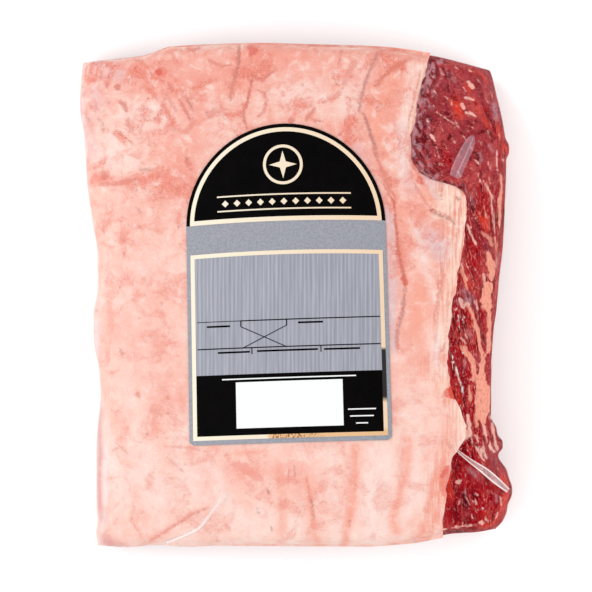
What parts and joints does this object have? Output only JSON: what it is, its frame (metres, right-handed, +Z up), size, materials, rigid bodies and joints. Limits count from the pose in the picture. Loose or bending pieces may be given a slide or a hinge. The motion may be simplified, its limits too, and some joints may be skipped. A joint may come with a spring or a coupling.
{
  "type": "vacuum-packed beef striploin",
  "caption": "Piece of raw beef striploin, fat cap up, lying in a tight clear vacuum bag, with an arched silver and black label on its top.",
  "frame": {"origin": "under the middle of the pack, on the surface that it lies on", "axes": "+Z up through the fat cap; +X from the thin flank side to the thick chine side, where the lean shows; +Y along the loin, towards the end with the wide patch of lean and the arch of the label"},
  "size_m": [0.217, 0.2538, 0.066],
  "materials": {
    "beef_fat": "raw beef fat under film: pale pink, mottled, soft gloss",
    "beef_lean": "raw beef muscle under film: deep red with pale streaks, wet gloss",
    "clear_film": "clear barrier film, glossy, drawn tight by the vacuum",
    "label_silver": "silver metallised label paper with fine upright stripes, satin",
    "label_black": "gloss black print",
    "label_gold": "pale gold foil line, mirror-bright",
    "label_white": "bare white paper window, matte"
  },
  "bodies": {
    "root": {"vacuum_pack": "beef_fat", "label": "label_silver"}
  },
  "joints": []
}
